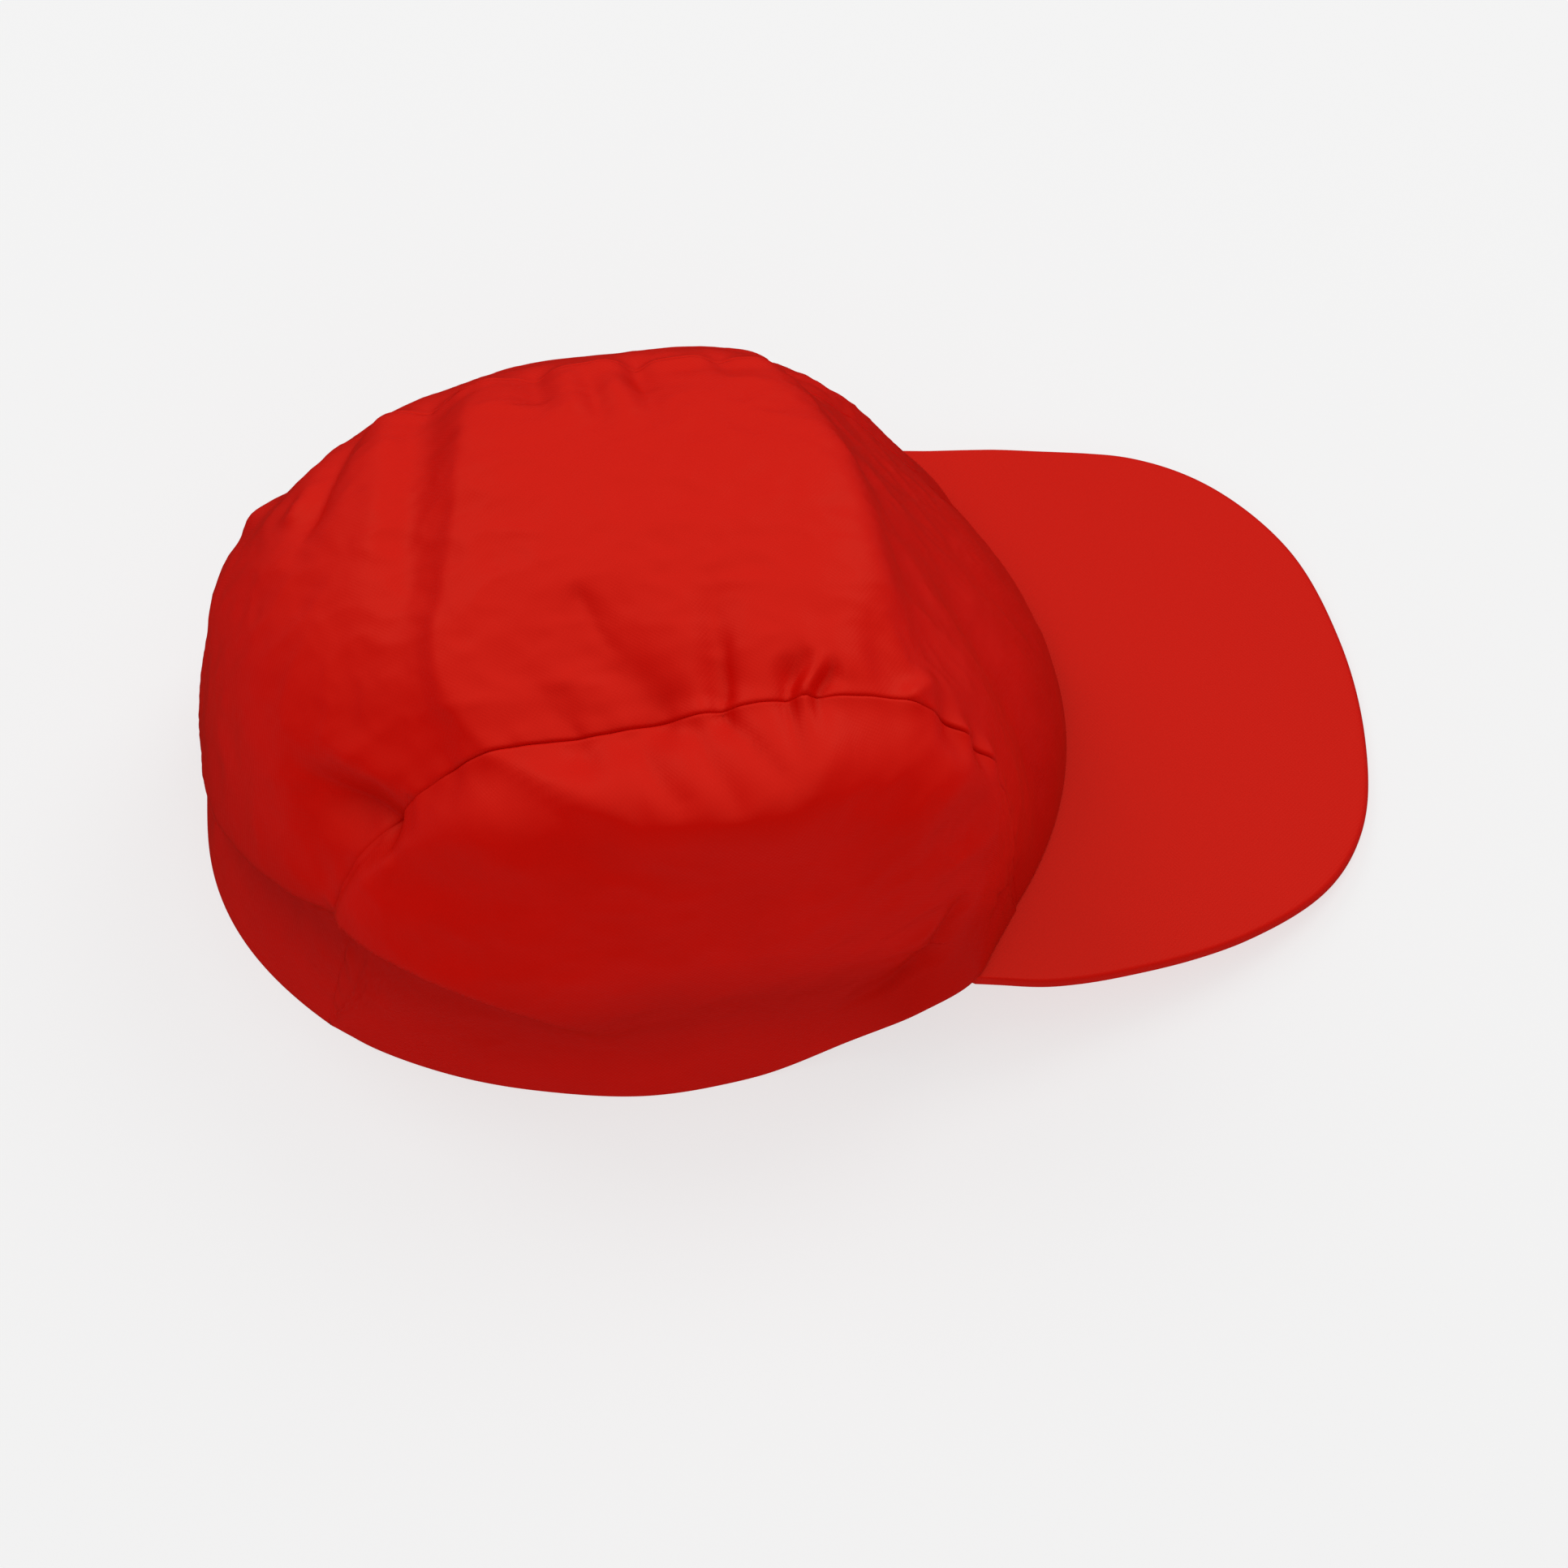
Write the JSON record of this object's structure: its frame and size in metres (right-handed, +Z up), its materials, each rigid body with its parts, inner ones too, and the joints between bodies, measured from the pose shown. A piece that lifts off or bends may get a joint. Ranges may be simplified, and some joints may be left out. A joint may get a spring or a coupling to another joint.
{
  "type": "peaked cap",
  "caption": "Plain red cotton cap with a soft panelled crown and a flat cloth-covered peak, lying on its rim.",
  "frame": {"origin": "centre of the bounding box in plan, on the surface that the cap lies on", "axes": "+X forwards, from the crown to the peak; +Y to the wearer's left; +Z up"},
  "size_m": [0.2667, 0.1642, 0.1061],
  "materials": {
    "crown_cotton": "plain woven red cotton, matt with a faint sheen",
    "peak_cotton": "plain woven red cotton drawn smooth over a stiff board"
  },
  "bodies": {
    "root": {"crown_centre_panel": "crown_cotton", "crown_side_panel_right": "crown_cotton", "crown_side_panel_left": "crown_cotton", "peak": "peak_cotton"}
  },
  "joints": []
}
